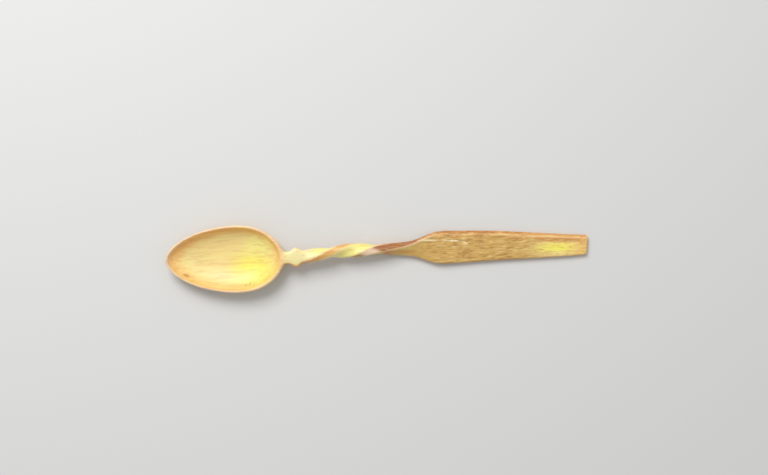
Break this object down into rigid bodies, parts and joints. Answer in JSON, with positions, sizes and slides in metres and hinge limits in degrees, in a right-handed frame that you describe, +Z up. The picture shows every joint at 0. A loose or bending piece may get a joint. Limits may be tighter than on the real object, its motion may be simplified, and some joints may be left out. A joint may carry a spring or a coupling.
{
  "type": "spoon",
  "caption": "Long carved horn spoon: pointed egg-shaped bowl, waisted neck with a pointed shoulder, flat stem twisted once round, thin tapering handle.",
  "frame": {"origin": "under the middle of the spoon, on the plane that it lies on", "axes": "+X from the tip of the bowl towards the butt of the handle, +Z up out of the bowl"},
  "size_m": [0.1904, 0.0304, 0.0095],
  "materials": {
    "horn": "worn polish"
  },
  "bodies": {
    "root": {"bowl": "horn", "neck": "horn", "twisted_stem": "horn", "handle": "horn"}
  },
  "joints": []
}
